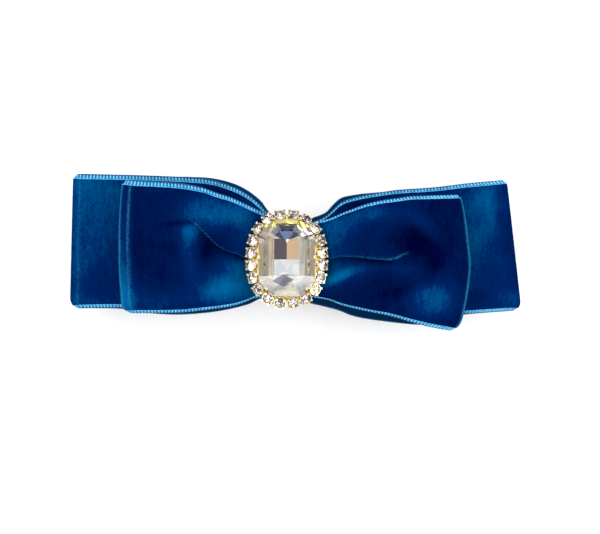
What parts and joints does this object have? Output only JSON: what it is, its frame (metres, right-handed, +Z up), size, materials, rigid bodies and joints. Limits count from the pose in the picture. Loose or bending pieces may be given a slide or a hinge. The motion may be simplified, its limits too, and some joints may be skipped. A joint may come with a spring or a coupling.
{
  "type": "rhinestone hair clip",
  "caption": "Looped velvet ribbon bow with a claw-set crystal brooch at its centre, sewn to a sprung metal barrette with a hinged closing arm.",
  "frame": {"origin": "centre of the part's footprint, on the surface it lies on", "axes": "+X along the bow, +Y across the ribbon towards the edge worn uppermost, +Z up out of the bow's face; the clip lies on its closing arm"},
  "size_m": [0.1304, 0.0441, 0.0314],
  "materials": {
    "nickel_steel": "nickel plated, satin",
    "pin_steel": "polished",
    "spring_steel": "tempered, satin",
    "felt": "matted wool felt",
    "velvet_back": "velvet pile",
    "velvet_front": "velvet pile",
    "thread": "twisted thread",
    "wrap_ribbon": "velvet pile",
    "glue": "hot-melt glue, cloudy",
    "gold_tone": "polished gold-tone plating",
    "crystal": "cut and foiled",
    "rhinestone": "cut and foiled"
  },
  "bodies": {
    "bow_and_base": {"barrette_base": "nickel_steel", "hinge_pin": "pin_steel", "catch_plate": "nickel_steel", "catch_rivet": "pin_steel", "felt_lining": "felt", "back_bow": "velvet_back", "front_bow": "velvet_front", "binding_thread": "thread", "centre_wrap": "wrap_ribbon", "glue_pad": "glue", "brooch_plate": "gold_tone", "crystal_cradle": "gold_tone", "centre_crystal": "crystal", "rhinestone_cup_01": "gold_tone", "rhinestone_cup_02": "gold_tone", "rhinestone_cup_03": "gold_tone", "rhinestone_cup_04": "gold_tone", "rhinestone_cup_05": "gold_tone", "rhinestone_cup_06": "gold_tone", "rhinestone_cup_07": "gold_tone", "rhinestone_cup_08": "gold_tone", "rhinestone_cup_09": "gold_tone", "rhinestone_cup_10": "gold_tone", "rhinestone_cup_11": "gold_tone", "rhinestone_cup_12": "gold_tone", "rhinestone_cup_13": "gold_tone", "rhinestone_cup_14": "gold_tone", "rhinestone_cup_15": "gold_tone", "rhinestone_cup_16": "gold_tone", "rhinestone_cup_17": "gold_tone", "rhinestone_cup_18": "gold_tone", "rhinestone_cup_19": "gold_tone", "rhinestone_cup_20": "gold_tone", "rhinestone_01": "rhinestone", "rhinestone_02": "rhinestone", "rhinestone_03": "rhinestone", "rhinestone_04": "rhinestone", "rhinestone_05": "rhinestone", "rhinestone_06": "rhinestone", "rhinestone_07": "rhinestone", "rhinestone_08": "rhinestone", "rhinestone_09": "rhinestone", "rhinestone_10": "rhinestone", "rhinestone_11": "rhinestone", "rhinestone_12": "rhinestone", "rhinestone_13": "rhinestone", "rhinestone_14": "rhinestone", "rhinestone_15": "rhinestone", "rhinestone_16": "rhinestone", "rhinestone_17": "rhinestone", "rhinestone_18": "rhinestone", "rhinestone_19": "rhinestone", "rhinestone_20": "rhinestone"},
    "arm": {"barrette_arm": "nickel_steel"},
    "strip": {"tension_strip": "spring_steel"},
    "front_tab": {"catch_tab_front": "spring_steel"},
    "rear_tab": {"catch_tab_rear": "spring_steel"}
  },
  "joints": [
    {"name": "arm_hinge", "type": "hinge", "parent": "bow_and_base", "child": "arm", "pos_m": [-0.0405, -0.001, 0.0034], "axis": [0, 1, 0], "range_deg": [0, 75]},
    {"name": "strip_swing", "type": "hinge", "parent": "bow_and_base", "child": "strip", "pos_m": [-0.0405, -0.001, 0.0034], "axis": [0, 1, 0], "range_deg": [0, 26.25]},
    {"name": "rear_tab_squeeze", "type": "hinge", "parent": "bow_and_base", "child": "rear_tab", "pos_m": [0.0355, 0.0004, 0.0046], "axis": [1, 0, 0], "range_deg": [0, 7], "stiffness_Nm_per_rad": 0.002, "springref_deg": 11.46},
    {"name": "front_tab_squeeze", "type": "hinge", "parent": "bow_and_base", "child": "front_tab", "pos_m": [0.0355, -0.0024, 0.0046], "axis": [1, 0, 0], "range_deg": [-7, 0], "stiffness_Nm_per_rad": 0.002, "springref_deg": -11.46}
  ],
  "couplings": [
    {"joint": "strip_swing", "follows": "arm_hinge", "ratio": 0.35},
    {"joint": "front_tab_squeeze", "follows": "rear_tab_squeeze", "ratio": -1}
  ]
}
